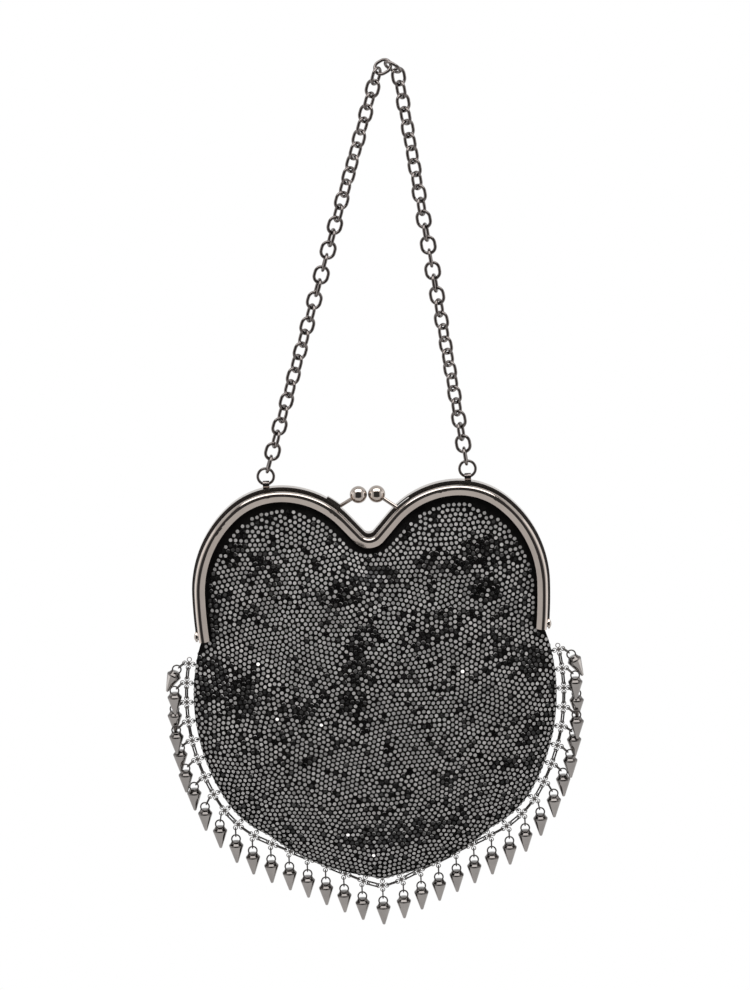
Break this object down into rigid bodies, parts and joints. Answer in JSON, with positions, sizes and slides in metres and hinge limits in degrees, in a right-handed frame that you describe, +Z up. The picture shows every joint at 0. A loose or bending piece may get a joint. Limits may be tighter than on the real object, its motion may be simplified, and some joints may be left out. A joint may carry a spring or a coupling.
{
  "type": "heart shaped purse",
  "caption": "Heart shaped evening purse with a hinged kiss-lock frame, stone covered panels, a chain handle and a fringe of hanging spikes.",
  "frame": {"origin": "the point where the chain handle hangs, in the middle of the wire of its top two links", "axes": "+Z up, -Y the front of the purse with the kiss-lock's bright arm, +X to the right in the picture"},
  "size_m": [0.2084, 0.0372, 0.4351],
  "materials": {
    "gunmetal": "polished dark plated metal",
    "chain_metal": "polished dark plated metal",
    "fringe_metal": "polished dark plated metal",
    "spike_metal": "polished dark plated metal",
    "outer_cloth": "matt black cloth",
    "stones": "close-set small faceted grey stones",
    "board": "stiff felted board",
    "satin": "black satin",
    "paper": "twisted paper cord"
  },
  "bodies": {
    "handle_top": {"upper_chain": "chain_metal"},
    "left_lower_leg": {"left_lower_chain": "chain_metal"},
    "right_lower_leg": {"right_lower_chain": "chain_metal"},
    "left_ring": {"left_ring": "chain_metal"},
    "right_ring": {"right_ring": "chain_metal"},
    "purse": {"rear_frame": "gunmetal", "hinge_rivets": "gunmetal", "rear_clasp": "gunmetal", "chain_eyelets": "gunmetal", "rear_outer_fabric": "outer_cloth", "rear_stones": "stones", "rear_stiffener": "board", "rear_lining": "satin", "rear_paper_cord": "paper", "front_stiffener_lower": "board", "front_outer_fabric": "outer_cloth", "front_stones": "stones", "front_lining": "satin", "fringe_connectors": "fringe_metal", "fringe_links": "fringe_metal", "pendant_links": "fringe_metal"},
    "front_half": {"front_frame": "gunmetal", "front_clasp": "gunmetal", "front_stiffener_upper": "board", "front_paper_cord": "paper"},
    "spike_01": {"spike_01": "spike_metal"},
    "spike_02": {"spike_02": "spike_metal"},
    "spike_03": {"spike_03": "spike_metal"},
    "spike_04": {"spike_04": "spike_metal"},
    "spike_05": {"spike_05": "spike_metal"},
    "spike_06": {"spike_06": "spike_metal"},
    "spike_07": {"spike_07": "spike_metal"},
    "spike_08": {"spike_08": "spike_metal"},
    "spike_09": {"spike_09": "spike_metal"},
    "spike_10": {"spike_10": "spike_metal"},
    "spike_11": {"spike_11": "spike_metal"},
    "spike_12": {"spike_12": "spike_metal"},
    "spike_13": {"spike_13": "spike_metal"},
    "spike_14": {"spike_14": "spike_metal"},
    "spike_15": {"spike_15": "spike_metal"},
    "spike_16": {"spike_16": "spike_metal"},
    "spike_17": {"spike_17": "spike_metal"},
    "spike_18": {"spike_18": "spike_metal"},
    "spike_19": {"spike_19": "spike_metal"},
    "spike_20": {"spike_20": "spike_metal"},
    "spike_21": {"spike_21": "spike_metal"},
    "spike_22": {"spike_22": "spike_metal"},
    "spike_23": {"spike_23": "spike_metal"},
    "spike_24": {"spike_24": "spike_metal"},
    "spike_25": {"spike_25": "spike_metal"},
    "spike_26": {"spike_26": "spike_metal"},
    "spike_27": {"spike_27": "spike_metal"},
    "spike_28": {"spike_28": "spike_metal"},
    "spike_29": {"spike_29": "spike_metal"},
    "spike_30": {"spike_30": "spike_metal"},
    "spike_31": {"spike_31": "spike_metal"},
    "spike_32": {"spike_32": "spike_metal"},
    "spike_33": {"spike_33": "spike_metal"},
    "spike_34": {"spike_34": "spike_metal"},
    "spike_35": {"spike_35": "spike_metal"}
  },
  "joints": [
    {"name": "frame_open", "type": "hinge", "parent": "purse", "child": "front_half", "pos_m": [-0.0179, -0.001, -0.281], "axis": [1, 0, 0], "range_deg": [0, 60], "deforming": ["front_outer_fabric", "front_stones", "front_lining"]},
    {"name": "handle_bend", "type": "hinge", "parent": "handle_top", "child": "left_lower_leg", "pos_m": [-0.03514, 0, -0.09826], "axis": [1, 0, 0], "range_deg": [-50, 50]},
    {"name": "purse_swing", "type": "hinge", "parent": "left_ring", "child": "purse", "pos_m": [-0.0677, 0, -0.20559], "axis": [1, 0, 0], "range_deg": [-45, 45]},
    {"name": "ring_swing", "type": "hinge", "parent": "left_lower_leg", "child": "left_ring", "pos_m": [-0.06651, 0, -0.1977], "axis": [1, 0, 0], "range_deg": [-40, 40]},
    {"name": "right_handle_bend", "type": "hinge", "parent": "handle_top", "child": "right_lower_leg", "pos_m": [0.0177, 0, -0.09826], "axis": [1, 0, 0], "range_deg": [-50, 50]},
    {"name": "right_ring_swing", "type": "hinge", "parent": "right_lower_leg", "child": "right_ring", "pos_m": [0.03136, 0, -0.1977], "axis": [1, 0, 0], "range_deg": [-40, 40]},
    {"name": "spike_swing_01", "type": "hinge", "parent": "purse", "child": "spike_01", "pos_m": [-0.1144, 0.0006, -0.2961], "axis": [0.6428, 0, -0.766], "range_deg": [0, 40]},
    {"name": "spike_swing_02", "type": "hinge", "parent": "purse", "child": "spike_02", "pos_m": [-0.11585, -0.0026, -0.3061], "axis": [0.6428, 0, -0.766], "range_deg": [-40, 0]},
    {"name": "spike_swing_03", "type": "hinge", "parent": "purse", "child": "spike_03", "pos_m": [-0.11635, 0.0006, -0.31618], "axis": [0.6428, 0, -0.766], "range_deg": [0, 40]},
    {"name": "spike_swing_04", "type": "hinge", "parent": "purse", "child": "spike_04", "pos_m": [-0.11589, -0.0026, -0.32626], "axis": [0.6428, 0, -0.766], "range_deg": [-40, 0]},
    {"name": "spike_swing_05", "type": "hinge", "parent": "purse", "child": "spike_05", "pos_m": [-0.11448, 0.0006, -0.33626], "axis": [0.6428, 0, -0.766], "range_deg": [0, 40]},
    {"name": "spike_swing_06", "type": "hinge", "parent": "purse", "child": "spike_06", "pos_m": [-0.11212, -0.0026, -0.34608], "axis": [0.6428, 0, -0.766], "range_deg": [-40, 0]},
    {"name": "spike_swing_07", "type": "hinge", "parent": "purse", "child": "spike_07", "pos_m": [-0.1086, 0.00034, -0.35605], "axis": [0.7454, 0, -0.6666], "range_deg": [0, 40]},
    {"name": "spike_swing_08", "type": "hinge", "parent": "purse", "child": "spike_08", "pos_m": [-0.10391, -0.00194, -0.3658], "axis": [0.8705, 0, -0.4922], "range_deg": [-40, 0]},
    {"name": "spike_swing_09", "type": "hinge", "parent": "purse", "child": "spike_09", "pos_m": [-0.09761, -0.00067, -0.37509], "axis": [0.984, 0, -0.1783], "range_deg": [0, 40]},
    {"name": "spike_swing_10", "type": "hinge", "parent": "purse", "child": "spike_10", "pos_m": [-0.09021, -0.001, -0.38293], "axis": [1, 0, 0], "range_deg": [-45, 45]},
    {"name": "spike_swing_11", "type": "hinge", "parent": "purse", "child": "spike_11", "pos_m": [-0.08211, -0.001, -0.38927], "axis": [1, 0, 0], "range_deg": [-45, 45]},
    {"name": "spike_swing_12", "type": "hinge", "parent": "purse", "child": "spike_12", "pos_m": [-0.0731, -0.001, -0.39398], "axis": [1, 0, 0], "range_deg": [-45, 45]},
    {"name": "spike_swing_13", "type": "hinge", "parent": "purse", "child": "spike_13", "pos_m": [-0.06413, -0.001, -0.39816], "axis": [1, 0, 0], "range_deg": [-45, 45]},
    {"name": "spike_swing_14", "type": "hinge", "parent": "purse", "child": "spike_14", "pos_m": [-0.05516, -0.001, -0.40235], "axis": [1, 0, 0], "range_deg": [-45, 45]},
    {"name": "spike_swing_15", "type": "hinge", "parent": "purse", "child": "spike_15", "pos_m": [-0.04618, -0.001, -0.40653], "axis": [1, 0, 0], "range_deg": [-45, 45]},
    {"name": "spike_swing_16", "type": "hinge", "parent": "purse", "child": "spike_16", "pos_m": [-0.03721, -0.001, -0.41071], "axis": [1, 0, 0], "range_deg": [-45, 45]},
    {"name": "spike_swing_17", "type": "hinge", "parent": "purse", "child": "spike_17", "pos_m": [-0.02824, -0.001, -0.4149], "axis": [1, 0, 0], "range_deg": [-45, 45]},
    {"name": "spike_swing_18", "type": "hinge", "parent": "purse", "child": "spike_18", "pos_m": [-0.0179, -0.001, -0.41768], "axis": [1, 0, 0], "range_deg": [-45, 45]},
    {"name": "spike_swing_19", "type": "hinge", "parent": "purse", "child": "spike_19", "pos_m": [-0.00756, -0.001, -0.4149], "axis": [1, 0, 0], "range_deg": [-45, 45]},
    {"name": "spike_swing_20", "type": "hinge", "parent": "purse", "child": "spike_20", "pos_m": [0.00141, -0.001, -0.41071], "axis": [1, 0, 0], "range_deg": [-45, 45]},
    {"name": "spike_swing_21", "type": "hinge", "parent": "purse", "child": "spike_21", "pos_m": [0.01038, -0.001, -0.40653], "axis": [1, 0, 0], "range_deg": [-45, 45]},
    {"name": "spike_swing_22", "type": "hinge", "parent": "purse", "child": "spike_22", "pos_m": [0.01936, -0.001, -0.40235], "axis": [1, 0, 0], "range_deg": [-45, 45]},
    {"name": "spike_swing_23", "type": "hinge", "parent": "purse", "child": "spike_23", "pos_m": [0.02833, -0.001, -0.39816], "axis": [1, 0, 0], "range_deg": [-45, 45]},
    {"name": "spike_swing_24", "type": "hinge", "parent": "purse", "child": "spike_24", "pos_m": [0.0373, -0.001, -0.39398], "axis": [1, 0, 0], "range_deg": [-45, 45]},
    {"name": "spike_swing_25", "type": "hinge", "parent": "purse", "child": "spike_25", "pos_m": [0.04631, -0.001, -0.38927], "axis": [1, 0, 0], "range_deg": [-45, 45]},
    {"name": "spike_swing_26", "type": "hinge", "parent": "purse", "child": "spike_26", "pos_m": [0.05441, -0.001, -0.38293], "axis": [1, 0, 0], "range_deg": [-45, 45]},
    {"name": "spike_swing_27", "type": "hinge", "parent": "purse", "child": "spike_27", "pos_m": [0.06181, -0.00067, -0.37509], "axis": [0.984, 0, 0.1783], "range_deg": [0, 40]},
    {"name": "spike_swing_28", "type": "hinge", "parent": "purse", "child": "spike_28", "pos_m": [0.06811, -0.00194, -0.3658], "axis": [0.8705, 0, 0.4922], "range_deg": [-40, 0]},
    {"name": "spike_swing_29", "type": "hinge", "parent": "purse", "child": "spike_29", "pos_m": [0.0728, 0.00034, -0.35605], "axis": [0.7454, 0, 0.6666], "range_deg": [0, 40]},
    {"name": "spike_swing_30", "type": "hinge", "parent": "purse", "child": "spike_30", "pos_m": [0.07632, -0.0026, -0.34608], "axis": [0.6428, 0, 0.766], "range_deg": [-40, 0]},
    {"name": "spike_swing_31", "type": "hinge", "parent": "purse", "child": "spike_31", "pos_m": [0.07868, 0.0006, -0.33626], "axis": [0.6428, 0, 0.766], "range_deg": [0, 40]},
    {"name": "spike_swing_32", "type": "hinge", "parent": "purse", "child": "spike_32", "pos_m": [0.08009, -0.0026, -0.32626], "axis": [0.6428, 0, 0.766], "range_deg": [-40, 0]},
    {"name": "spike_swing_33", "type": "hinge", "parent": "purse", "child": "spike_33", "pos_m": [0.08055, 0.0006, -0.31618], "axis": [0.6428, 0, 0.766], "range_deg": [0, 40]},
    {"name": "spike_swing_34", "type": "hinge", "parent": "purse", "child": "spike_34", "pos_m": [0.08005, -0.0026, -0.3061], "axis": [0.6428, 0, 0.766], "range_deg": [-40, 0]},
    {"name": "spike_swing_35", "type": "hinge", "parent": "purse", "child": "spike_35", "pos_m": [0.0786, 0.0006, -0.2961], "axis": [0.6428, 0, 0.766], "range_deg": [0, 40]}
  ],
  "couplings": [
    {"joint": "right_handle_bend", "follows": "handle_bend", "ratio": 1},
    {"joint": "right_ring_swing", "follows": "ring_swing", "ratio": 1}
  ]
}
